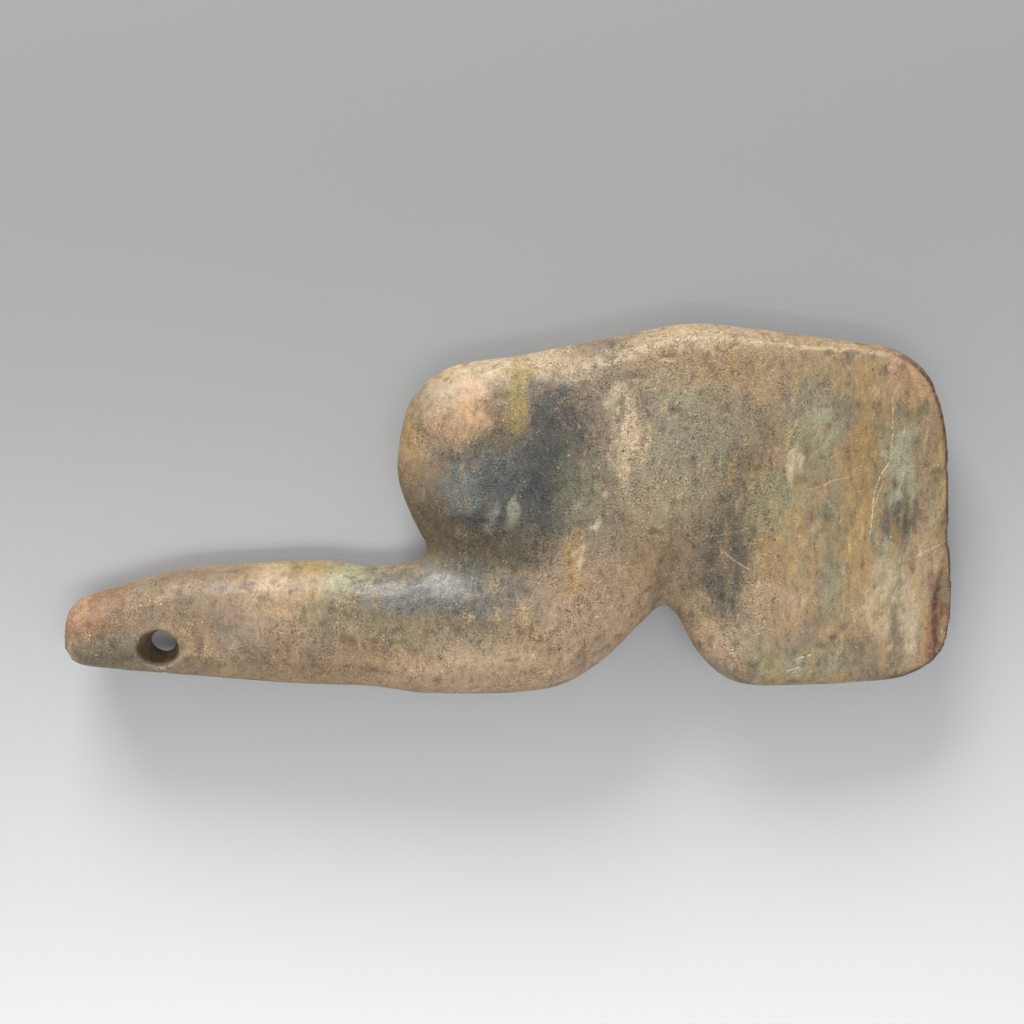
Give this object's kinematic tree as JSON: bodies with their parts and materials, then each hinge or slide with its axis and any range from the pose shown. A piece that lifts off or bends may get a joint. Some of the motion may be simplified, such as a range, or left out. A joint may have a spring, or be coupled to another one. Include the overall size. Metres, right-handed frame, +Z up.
{
  "type": "monolithic stone axe",
  "caption": "Axe carved in one piece of stone: tapering handle with a cord hole, rounded heel and a broad blade thinning to its cutting edge, lying on its back.",
  "frame": {"origin": "on the surface that the axe lies on, under the middle of its box", "axes": "+X towards the cutting edge and -X towards the end of the handle, +Y towards the heel and the hump of the head, +Z up, out of the front face"},
  "size_m": [0.3004, 0.1266, 0.0394],
  "materials": {
    "stone": "ground and half polished, with mottled patina"
  },
  "bodies": {
    "root": {"stone_axe": "stone"}
  },
  "joints": []
}
